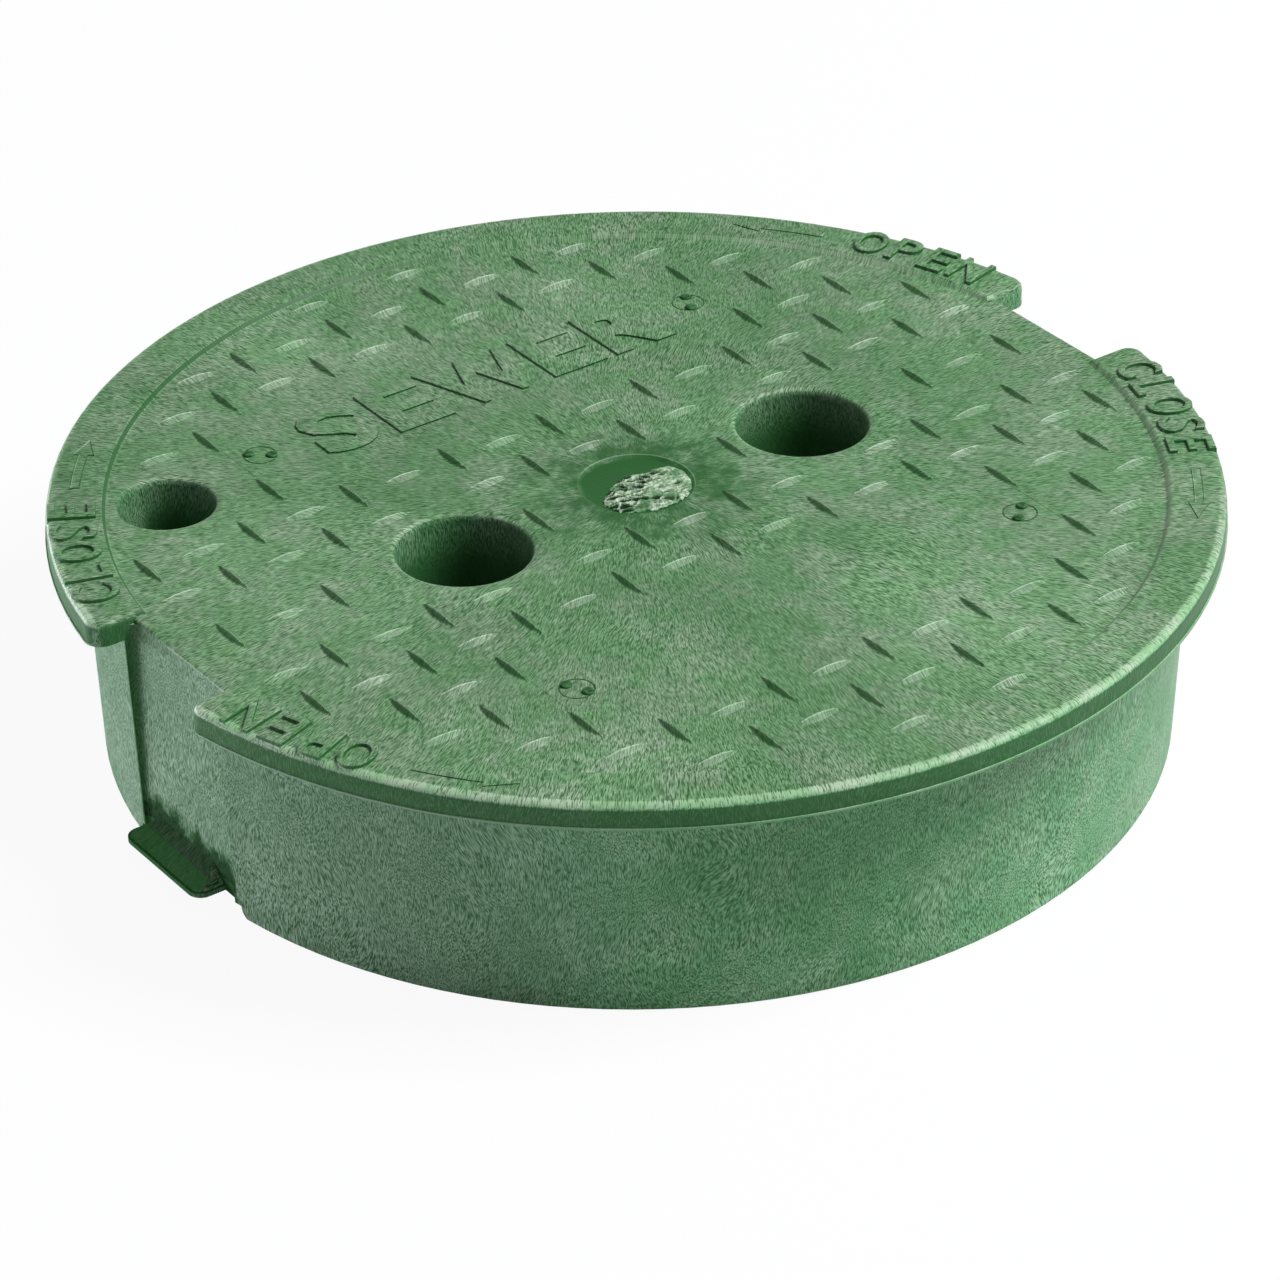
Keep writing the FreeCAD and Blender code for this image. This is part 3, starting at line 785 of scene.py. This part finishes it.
def tear_margin(x, y):
    """How far inside the torn stub's outline a point is, or below 0 outside it."""
    corners = [Vector((u * MM, v * MM)) for u, v in TEAR_OUTLINE]
    point = Vector((x, y))
    nearest = 1.0
    inside = False
    for a, b in zip(corners, corners[1:] + corners[:1]):
        share = clamped(geometry.intersect_point_line(point, a, b)[1])
        nearest = min(nearest, (a + (b - a) * share - point).length)
        if (a.y > y) != (b.y > y) and x < a.x + (b.x - a.x) * (y - a.y) / (b.y - a.y):
            inside = not inside
    return nearest if inside else -nearest


def is_off_tear(corner):
    """Whether a corner lies outside the torn stub's outline, made a little ragged."""
    ragged = TEAR_RAGGEDNESS * noise.noise(corner.co * 900)
    return tear_margin(corner.co.x, corner.co.y) + ragged < 0


def gate_tear(finish):
    """The stub left where the sprue broke off: torn webs round open cells in the gate dish."""
    deselect_all()
    noise.seed_set(TEAR_SEED)
    columns = int(TEAR_FIELD / TEAR_STEP)
    bpy.ops.mesh.primitive_grid_add(
        x_subdivisions=columns, y_subdivisions=columns, size=TEAR_FIELD,
        location=(TEAR_MIDDLE_X, TEAR_MIDDLE_Y, DISH_FLOOR - TEAR_ROOT))
    tear = bpy.context.object
    settle(tear)
    bpy.ops.object.mode_set(mode="EDIT")
    choose(tear, "verts", is_off_tear)
    bpy.ops.mesh.delete(type="VERT")
    bpy.ops.mesh.select_all(action="SELECT")
    bpy.ops.mesh.extrude_region_move(TRANSFORM_OT_translate={"value": (0, 0, TEAR_BASE)})
    shape = bmesh.from_edit_mesh(tear.data)
    web = shape.verts.layers.float.new("web")
    for corner in shape.verts:
        if corner.co.z < DISH_FLOOR:
            continue
        flow = Vector((corner.co.x, corner.co.y, 0))
        flow += TEAR_WOBBLE * noise.noise_vector(flow * 350)
        flow.x = (flow.x + 0.5 * flow.y) * 0.8
        gaps, seeds = noise.voronoi(flow / TEAR_CELL)
        wall = 1 - clamped((gaps[1] - gaps[0]) / TEAR_WEB_WIDTH)
        depth = 0.5 + 0.9 * noise.noise(seeds[0] * 3.1) + corner.co.x * 22
        swell = clamped(tear_margin(corner.co.x, corner.co.y) / TEAR_EDGE_SLOPE)
        lump = 0.5 + 0.5 * noise.noise(corner.co * 260)
        corner[web] = wall + (1 - wall) * max(0, 1.4 * depth - 0.35)
        corner.co.z += swell * (0.35 * lump + 0.75 * corner[web]) * MM
    bmesh.update_edit_mesh(tear.data)
    face_outward()
    return finish_piece(tear, "gate_tear", finish, TEAR_SMOOTH_ANGLE)


def lamp(name, place, width, depth, power):
    """A soft lamp at the place, turned to the cover."""
    deselect_all()
    bpy.ops.object.light_add(type="AREA", location=place)
    light = bpy.context.object
    light.name = name
    light.data.shape = "RECTANGLE"
    light.data.size = width
    light.data.size_y = depth
    light.data.energy = power
    towards = Vector(LAMP_AIM) - Vector(place)
    light.rotation_euler = towards.to_track_quat("-Z", "Y").to_euler()
    return light


def seen_share(start, mirrored):
    """1 for rays straight from the camera, and the mirrored share for those off a shiny face."""
    camera_ray = start.add("ShaderNodeLightPath", {}, {}, "Is Camera Ray")
    glossy_ray = start.add("ShaderNodeLightPath", {}, {}, "Is Glossy Ray")
    clear_ray = start.add("ShaderNodeLightPath", {}, {}, "Is Transmission Ray")
    return camera_ray.maths("MAXIMUM", clear_ray).maths("MAXIMUM", glossy_ray * mirrored)


def studio():
    """White floor and surroundings, one large soft lamp on the right and a low one on the left."""
    lamp("key_lamp", place=(0.98, -0.72, 1.6), width=0.85, depth=0.85, power=44)
    low = lamp("low_strip_lamp", place=(-0.55, 0.73, 0.03), width=1.2, depth=0.05, power=10.0)
    low.data.color = (0.97, 0.95, 1.0)

    deselect_all()
    bpy.ops.mesh.primitive_plane_add(size=FLOOR_SIZE, location=(0, 0, 0))
    floor = bpy.context.object
    floor.name = "studio_floor"
    paint, start = blank_material("studio_white")
    spot = start.add("ShaderNodeTexCoord", {}, {}, "Object")
    away = (spot.axis(0) ** 2.0 + spot.axis(1) ** 2.0) ** 0.5
    seen = seen_share(start, away.rise(0.14, 0.3) * 0.2)
    matt = start.add("ShaderNodeBsdfDiffuse", {}, {"Color": FLOOR_WHITE})
    glow = start.add("ShaderNodeEmission", {}, {"Color": WHITE, "Strength": 1.0})
    show_surface(start, start.add("ShaderNodeMixShader", {}, {0: seen * 0.93, 1: matt, 2: glow}))
    floor.data.materials.append(paint)

    world = bpy.data.worlds.new("studio_air")
    world.use_nodes = True
    world.node_tree.nodes.clear()
    start = Shade(world.node_tree)
    height = start.add("ShaderNodeTexCoord", {}, {}, "Generated").axis(2)
    seen = seen_share(start, height.rise(0.30, 0.06))
    air = start.add("ShaderNodeBackground", {}, {"Color": WHITE, "Strength": 0.2 + seen * 0.8})
    start.add("ShaderNodeOutputWorld", {"target": "ALL"}, {"Surface": air})
    bpy.context.scene.world = world


def camera():
    """The camera at the photo's angle."""
    deselect_all()
    bpy.ops.object.camera_add(location=CAMERA_PLACE)
    eye = bpy.context.object
    eye.name = "photo_camera"
    eye.rotation_euler = [math.radians(turn) for turn in CAMERA_TURN]
    eye.data.sensor_width = 36
    eye.data.lens = CAMERA_LENS
    eye.data.clip_end = 30
    bpy.context.scene.camera = eye


plastic = fibrous_plastic()
pressed = bare_plastic()
torn = torn_plastic()
cover_shell(plastic)
service_word(plastic)
for label, turned in (("a", 0), ("b", 180)):
    rim_word("close_word_" + label, "CLOSE", CLOSE_FIRST + turned, CLOSE_PITCH, plastic)
    rim_word("open_word_" + label, "OPEN", OPEN_FIRST + turned, OPEN_PITCH, plastic)
    rim_arrow("close_arrow_" + label, CLOSE_ARROW_TAIL + turned, CLOSE_ARROW_TIP + turned, plastic)
    rim_arrow("open_arrow_" + label, OPEN_ARROW_TAIL + turned, OPEN_ARROW_TIP + turned, plastic)
plate_middle = (PLATE_INNER_Y + PLATE_OUTER_Y) / 2
plate_outline("far_plate_outline", plate_middle, plastic)
plate_outline("near_plate_outline", -plate_middle, plastic)
for mark, side_x, side_y, pip_angle in SCREW_MARKS:
    screw_mark(mark, side_x * SCREW_X, side_y * SCREW_Y, pip_angle, pressed)
gate_tear(torn)
studio()
camera()
bpy.context.scene.view_settings.view_transform = "Standard"
